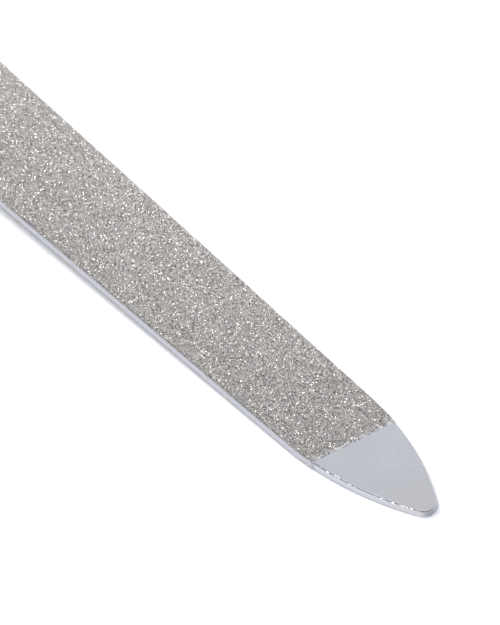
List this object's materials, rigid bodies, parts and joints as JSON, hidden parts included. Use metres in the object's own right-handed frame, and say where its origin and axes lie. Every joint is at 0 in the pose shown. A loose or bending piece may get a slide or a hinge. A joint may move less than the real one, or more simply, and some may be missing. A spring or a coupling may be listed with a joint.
{
  "type": "diamond nail file",
  "caption": "Flat tapered steel nail file with a bare rounded point, a diamond coat on both faces and a two-part moulded handle.",
  "frame": {"origin": "centre of the bounding box's underside, in the plane of the handle's flat underside", "axes": "+X along the file towards the tip, +Y across the blade, +Z out of the upper face"},
  "size_m": [0.165, 0.018, 0.006],
  "materials": {
    "plated_steel": "mirror-bright plating on stamped steel",
    "nickel_plating": "satin electroplated nickel",
    "diamond_grit": "diamond grains held in nickel, rough and sparkling",
    "moulded_plastic": "fine satin moulded texture"
  },
  "bodies": {
    "root": {"blade": "plated_steel", "nickel_bond": "nickel_plating", "upper_diamond_grit": "diamond_grit", "lower_diamond_grit": "diamond_grit", "handle_lower_shell": "moulded_plastic", "handle_upper_shell": "moulded_plastic"}
  },
  "joints": []
}
